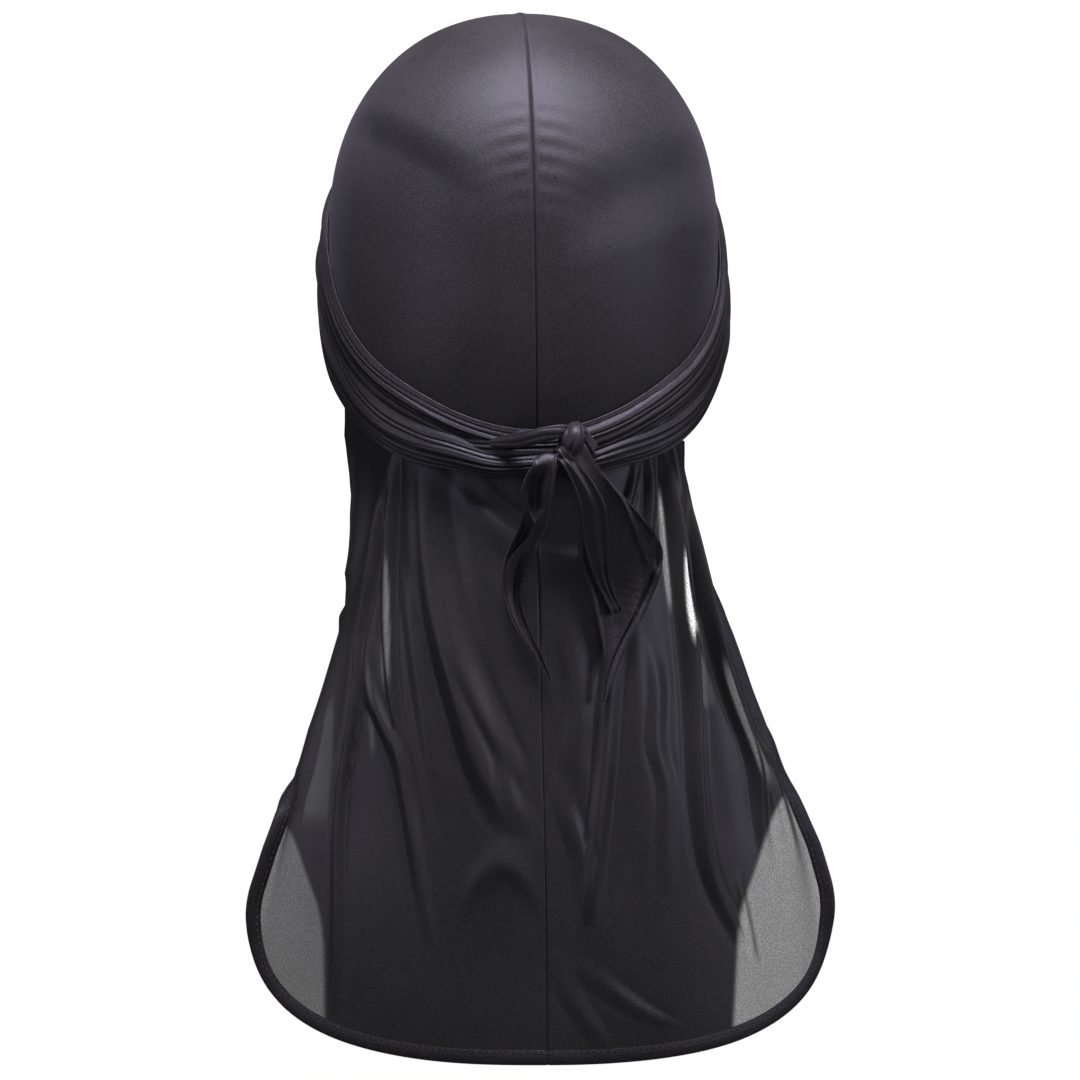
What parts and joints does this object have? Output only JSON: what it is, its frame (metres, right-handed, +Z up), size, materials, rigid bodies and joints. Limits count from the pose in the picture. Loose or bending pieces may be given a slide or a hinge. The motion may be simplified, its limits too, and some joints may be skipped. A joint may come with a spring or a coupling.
{
  "type": "durag",
  "caption": "Satin durag in its worn form: seamed crown, straps wrapped round it and knotted at the nape with hanging tails, and a long hemmed flap.",
  "frame": {"origin": "centre of the head's hollow, level with its widest place and on the crown's centre seam; this is the mount head_seat", "axes": "+Z up along the worn crown, +Y the way that the wearer faces, +X to the wearer's right, which is the right of the picture"},
  "size_m": [0.2287, 0.2017, 0.4033],
  "materials": {
    "crown_satin": "black silky polyester satin with a soft sheen, stretched smooth",
    "flap_satin": "the same black satin as one loose layer, slightly see-through",
    "strap_satin": "black satin gathered into narrow pleats",
    "hem_satin": "black satin turned over twice and stitched",
    "seam_allowance": "raw doubled edges of the black satin, overcast with thread"
  },
  "bodies": {
    "root": {"crown_left": "crown_satin", "crown_right": "crown_satin", "flap_left": "flap_satin", "flap_right": "flap_satin", "crown_seam": "seam_allowance", "flap_seam": "seam_allowance", "front_hem": "hem_satin", "flap_hem": "hem_satin", "strap_left": "strap_satin", "strap_right": "strap_satin", "knot_left": "strap_satin", "knot_right": "strap_satin", "tail_left": "strap_satin", "tail_right": "strap_satin"}
  },
  "joints": []
}
